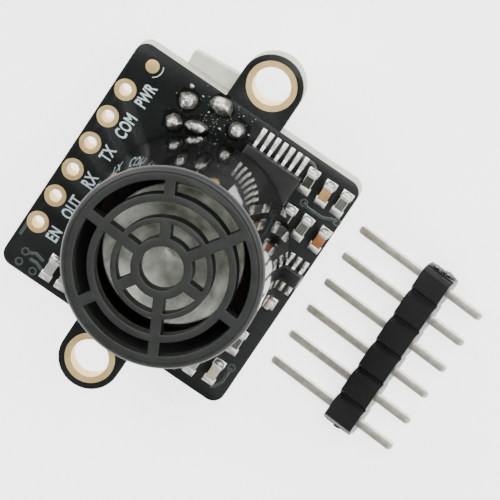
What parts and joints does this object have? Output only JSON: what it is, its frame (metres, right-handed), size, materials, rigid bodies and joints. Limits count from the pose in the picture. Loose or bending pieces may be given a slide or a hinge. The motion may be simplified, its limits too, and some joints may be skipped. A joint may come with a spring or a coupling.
{
  "type": "ultrasonic distance sensor",
  "caption": "Square black sensor board with two screw ears, one round ultrasonic transducer behind a slotted grille, and a loose pin header lying beside it.",
  "frame": {"origin": "midway between the two ear holes, on the back face of the circuit board", "axes": "+Z the way the transducer faces, +Y along the row of header holes and the line of the ear holes, +X from that row towards the chips"},
  "size_m": [0.0334, 0.0312, 0.0194],
  "materials": {
    "solder_mask": "black solder mask on glass-fibre board, semi-gloss",
    "gold_plating": "pale gold plating, satin",
    "black_can_plastic": "black moulded plastic, glossy wall and matt grille",
    "base_laminate": "dark paper laminate",
    "silicone_rubber": "soft translucent white silicone",
    "vibrator_metal": "satin",
    "piezo_ceramic": "fired ceramic with silvered faces",
    "cone_aluminium": "thin spun aluminium, dull",
    "tinned_metal": "bright tin plating",
    "lead_wire": "enamelled wire",
    "solder": "bright solder",
    "ivory_plastic": "ivory moulded plastic",
    "winding_tape": "polyester tape over copper wire",
    "ferrite": "sintered dark grey ferrite",
    "black_base_plastic": "black moulded plastic",
    "capacitor_aluminium": "drawn bare aluminium",
    "chip_epoxy": "black moulded epoxy",
    "resistor_film": "dark glass coat over film",
    "capacitor_ceramic": "tan fired ceramic",
    "header_plastic": "black moulded nylon",
    "header_pin_metal": "tin-plated brass"
  },
  "bodies": {
    "sensor": {"board_header_hole_plating": "gold_plating", "circuit_board": "solder_mask", "board_ear_hole_plating": "gold_plating", "test_pad": "gold_plating", "transducer_can": "black_can_plastic", "transducer_base": "base_laminate", "damping_ring": "silicone_rubber", "vibrating_disc": "vibrator_metal", "piezo_disc": "piezo_ceramic", "resonator_cone": "cone_aluminium", "transducer_terminals": "tinned_metal", "transducer_lead_wires": "lead_wire", "terminal_solder_joints": "solder", "transformer_solder_joints": "solder", "transformer_bobbin": "ivory_plastic", "transformer_winding": "winding_tape", "transformer_core": "ferrite", "transformer_pins": "tinned_metal", "storage_capacitor_base": "black_base_plastic", "storage_capacitor_can": "capacitor_aluminium", "storage_capacitor_leads": "tinned_metal", "amplifier_chip_body": "chip_epoxy", "amplifier_chip_leads": "tinned_metal", "comparator_chip_body": "chip_epoxy", "comparator_chip_leads": "tinned_metal", "controller_chip_body": "chip_epoxy", "controller_chip_leads": "tinned_metal", "regulator_chip_body": "chip_epoxy", "regulator_chip_leads": "tinned_metal", "drive_transistor_body": "chip_epoxy", "drive_transistor_leads": "tinned_metal", "front_resistor_bodies": "resistor_film", "front_resistor_end_caps": "tinned_metal", "front_capacitor_bodies": "capacitor_ceramic", "front_capacitor_end_caps": "tinned_metal", "back_resistor_bodies": "resistor_film", "back_resistor_end_caps": "tinned_metal", "back_capacitor_bodies": "capacitor_ceramic", "back_capacitor_end_caps": "tinned_metal"},
    "loose_header": {"header_strip_body": "header_plastic", "header_strip_pins": "header_pin_metal"}
  },
  "joints": [
    {"name": "header_lift", "type": "slide", "parent": "sensor", "child": "loose_header", "axis": [0, 0, 1], "range_m": [0, 0.025]}
  ]
}
